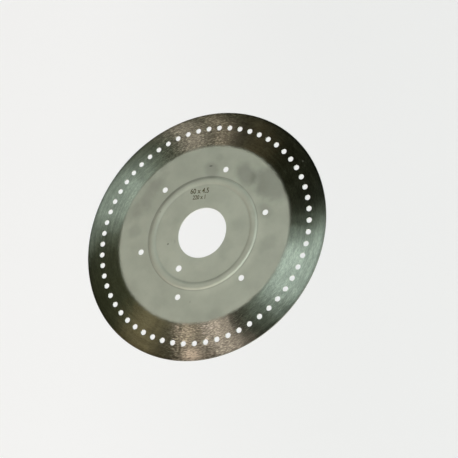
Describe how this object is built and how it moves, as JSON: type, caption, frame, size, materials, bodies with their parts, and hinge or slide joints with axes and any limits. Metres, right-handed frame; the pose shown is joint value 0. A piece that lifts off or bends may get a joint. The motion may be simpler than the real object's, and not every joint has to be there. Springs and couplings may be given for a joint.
{
  "type": "planter seed plate",
  "caption": "Thin round steel seed plate for a vacuum planter, with a circle of seed holes near its ground rim, a pressed bead round the hub and a central bore.",
  "frame": {"origin": "on the axis of the hub bore, in the plane of the flat underside", "axes": "+Z along the bore axis, out of the ground face; +X through the locating hole"},
  "size_m": [0.22, 0.22, 0.0016],
  "materials": {
    "plate_steel": "dull rolled stainless sheet with a ground outer ring"
  },
  "bodies": {
    "root": {"seed_plate": "plate_steel"}
  },
  "joints": []
}
